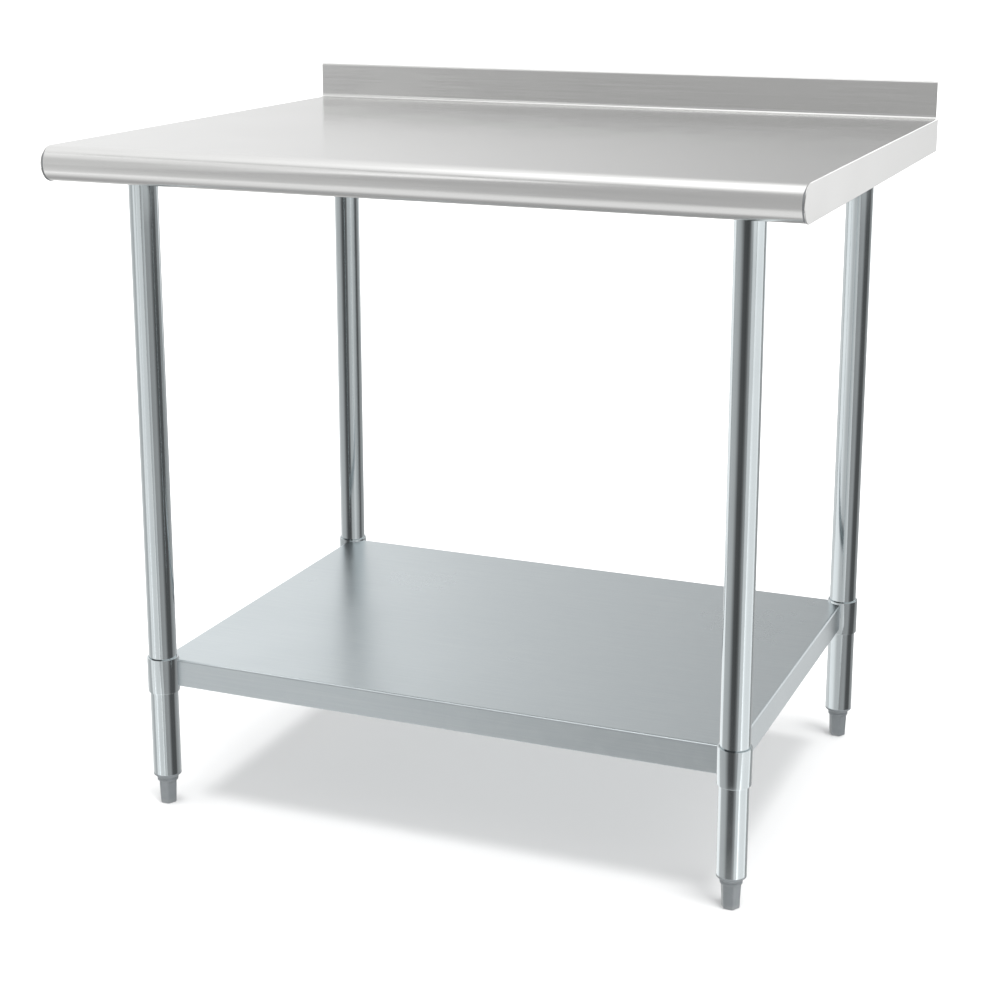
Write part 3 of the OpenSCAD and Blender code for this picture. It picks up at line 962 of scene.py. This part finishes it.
def studio_world():
    """A pale room. Polished metal sees it as bands of soft boxes and dark gaps, stacked by height.

    Each band has rows of (azimuth in degrees, grey level), where 0 is the front and 90 the right, and
    the sines of the elevations between which it takes over from the band below."""
    world = bpy.data.worlds.new("studio")
    world.use_nodes = True
    bpy.context.scene.world = world
    tree = world.node_tree
    direction = add_node(tree, "ShaderNodeTexCoord").outputs["Generated"]
    axes = add_node(tree, "ShaderNodeSeparateXYZ", None, Vector=direction)
    front = add_node(tree, "ShaderNodeMath", {"operation": "MULTIPLY", 1: -1.0}, in0=axes.outputs["Y"])
    azimuth = add_node(tree, "ShaderNodeMath", {"operation": "ARCTAN2"},
                       in0=axes.outputs["X"], in1=front)
    turn = add_node(tree, "ShaderNodeMapRange", {"From Min": -math.pi, "From Max": math.pi},
                    Value=azimuth).outputs["Result"]
    floor_rows = [(-180, 0.35), (-90, 0.5), (-60, 0.95), (0, 0.95), (60, 0.9), (120, 0.45), (180, 0.35)]
    low_rows = [
        (-180, 0.50), (-150, 0.58), (-140, 0.80), (-104, 0.80), (-94, 0.60), (-80, 0.56), (-52, 0.50),
        (-44, 0.42), (-32, 0.24), (-22, 0.10), (4, 0.08), (15, 0.15), (27, 0.36), (60, 0.38), (74, 0.16),
        (82, 0.1), (116, 0.1), (122, 0.2), (130, 0.33), (156, 0.42)]
    low_rear = [(172, 0.55), (180, 0.50)]
    eye_rear = [(160, 1.15), (166, 1.12), (170, 0.80), (175, 0.6), (180, 0.55)]
    high_rows = [
        (-180, 0.52), (-172, 0.48), (-166, 0.58), (-158, 0.76), (-150, 0.97), (-140, 1.08), (-100, 1.0),
        (-76, 0.8), (-66, 0.1), (16, 0.06), (30, 0.7), (90, 0.8), (150, 1.1), (172, 1.1), (178, 0.6),
        (180, 0.52)]
    top_rows = [(-180, 0.95), (-150, 1.12), (-30, 1.12), (60, 1.1), (150, 1.0), (180, 0.95)]
    zenith_rows = [(-180, 1.65)]
    overhead_rows = [(-180, 0.75)]
    bands = ((floor_rows, None), (low_rows + low_rear, (-0.72, -0.60)),
             (low_rows + eye_rear, (-0.21, -0.15)), (high_rows, (0.0, 0.07)), (top_rows, (0.72, 0.86)),
             (zenith_rows, (0.885, 0.945)), (overhead_rows, (0.97, 0.99)))
    for rows, takes_over in bands:
        band = add_node(tree, "ShaderNodeValToRGB", None, Fac=turn)
        elements = band.color_ramp.elements
        while len(elements) > 1:
            elements.remove(elements[-1])
        for i, (degrees, level) in enumerate(rows):
            element = elements.new((degrees + 180.0) / 360.0) if i else elements[0]
            element.color = (level, level, level, 1.0)
        if takes_over:
            start, end = takes_over
            rise = add_node(tree, "ShaderNodeMapRange", {"From Min": start, "From Max": end},
                            Value=axes.outputs["Z"])
            seen = add_node(tree, "ShaderNodeMix", {"data_type": "RGBA"}, Factor=rise,
                            in6=seen, in7=band.outputs["Color"]).outputs[2]
        else:
            seen = band.outputs["Color"]
    ambient_level = 0.28
    ambient = (ambient_level, ambient_level, ambient_level, 1.0)
    white = (1.0, 1.0, 1.0, 1.0)
    ray = add_node(tree, "ShaderNodeLightPath")
    lit = add_node(tree, "ShaderNodeMix", {"data_type": "RGBA", 6: ambient},
                   Factor=ray.outputs["Is Glossy Ray"], in7=seen)
    shown = add_node(tree, "ShaderNodeMix", {"data_type": "RGBA", 7: white},
                     Factor=ray.outputs["Is Camera Ray"], in6=lit.outputs[2])
    tree.links.new(shown.outputs[2], tree.nodes["Background"].inputs["Color"])


def collection_of(name, pieces):
    made = bpy.data.collections.new(name)
    for piece in pieces:
        made.objects.link(bpy.data.objects[piece])
    return made


def sun(name, strength, angle, tilt, turn, shadow, blockers=None):
    """A soft far light, tilted and turned in degrees, that metal doesn't mirror. Where blockers are
    named, nothing else shades it."""
    data = bpy.data.lights.new(name, "SUN")
    data.energy = strength
    data.angle = math.radians(angle)
    data.use_shadow = shadow
    made = bpy.data.objects.new(name, data)
    bpy.context.scene.collection.objects.link(made)
    made.rotation_euler = (math.radians(tilt), 0.0, math.radians(turn))
    made.visible_glossy = False
    if blockers:
        made.light_linking.blocker_collection = collection_of(name + "_blockers", blockers)


no_blockers = collection_of("card_blockers", [])      # nothing stands in a card's way


def card(name, azimuths, elevations, level, pieces):
    """A far soft box between two azimuths and two elevations in degrees, that only some pieces see."""
    distance = 6.0
    low_turn, high_turn = (math.radians(angle) for angle in azimuths)
    low_tilt, high_tilt = (math.radians(angle) for angle in elevations)
    width = 2 * distance * math.tan((high_turn - low_turn) / 2)
    height = 2 * distance * math.tan((high_tilt - low_tilt) / 2)
    turn = (low_turn + high_turn) / 2
    tilt = (low_tilt + high_tilt) / 2
    away = Vector((math.sin(turn) * math.cos(tilt), -math.cos(turn) * math.cos(tilt), math.sin(tilt)))
    data = bpy.data.lights.new(name, "AREA")
    data.shape = "RECTANGLE"
    data.size = width
    data.size_y = height
    data.energy = level * math.pi * width * height
    made = bpy.data.objects.new(name, data)
    bpy.context.scene.collection.objects.link(made)
    table_middle = Vector((0, 0, 0.5))
    made.location = table_middle + away * distance
    made.rotation_euler = away.to_track_quat("Z", "Y").to_euler()
    made.visible_camera = False
    made.light_linking.receiver_collection = collection_of(name + "_receivers", pieces)
    made.light_linking.blocker_collection = no_blockers


def leg_pieces(corner):
    return ["leg_" + corner + "_tube", "shelf_collar_" + corner + "_ring", "leg_insert_" + corner + "_plug",
            "foot_" + corner + "_moulding"]


def lights():
    """Suns for the floor and the plastic, and cards that polished pieces mirror. A card's row has its
    name, azimuths, elevations and level."""
    sun("overhead", 3.4, 36, 2, 0, True)
    sun("room_fill", 0.8, 20, 48, -60, False)
    plastic = [piece for corner in CORNERS for piece in leg_pieces(corner)[2:]]
    sun("feet_light", 1.4, 40, 42, 62, True, plastic)
    leg_height = (-50, 10)
    groups = (
        (["worktop_sheet"], (
            ("roll_card_left_high", (-70, -31), (34, 50), 0.85),
            ("roll_card_left", (-66, -31), (3, 34), 0.62),
            ("roll_card_left_low", (-66, -31), (-40, 3), 0.40),
            ("roll_card_front", (-31, 20), (-40, 50), 0.45))),
        (["undershelf_pan"], (
            ("shelf_bend_card", (-66, 20), (12, 75), 0.62),
            ("lip_card_left", (-50, -25), (-50, 5), 0.56),
            ("lip_card_front", (-25, 5), (-50, 5), 0.36),
            ("lip_card_right", (146, 180), (-50, 0), 0.37),
            ("lip_card_side", (50, 140), (-50, 4), 0.35),
            ("shelf_card_left", (-154, -120), (10, 36), 0.14))),
        (["left_end_plate_side", "right_end_plate_side"], (
            ("edge_card", (158, 196), (4, 18), 1.3),
            ("nose_card", (50, 110), (-25, 8), 0.75),
            ("nose_card_bright", (50, 75), (-25, 8), 2.0))),
        (leg_pieces("front_right"), (
            ("strip_front_right_a", (38, 62), leg_height, 0.42),
            ("strip_front_right_b", (62, 128), leg_height, 0.87),
            ("strip_front_right_c", (-144, -98), leg_height, 0.35))),
        (leg_pieces("rear_left"), (
            ("strip_rear_left", (20, 105), leg_height, 0.18),
            ("strip_rear_left_b", (47, 93), leg_height, 0.20))),
        (leg_pieces("front_left"), (
            ("strip_front_left_a", (-38, 2), leg_height, 0.72),
            ("strip_front_left_c", (-62, -38), leg_height, 0.50),
            ("strip_front_left_b", (2, 22), leg_height, 0.40))),
        (leg_pieces("rear_right"), (
            ("strip_rear_right", (-92, 26), leg_height, 0.52),)))
    for pieces, cards in groups:
        for name, azimuths, elevations, level in cards:
            card(name, azimuths, elevations, level, pieces)


camera()
floor()
studio_world()
lights()
bpy.context.scene.view_settings.view_transform = "Standard"
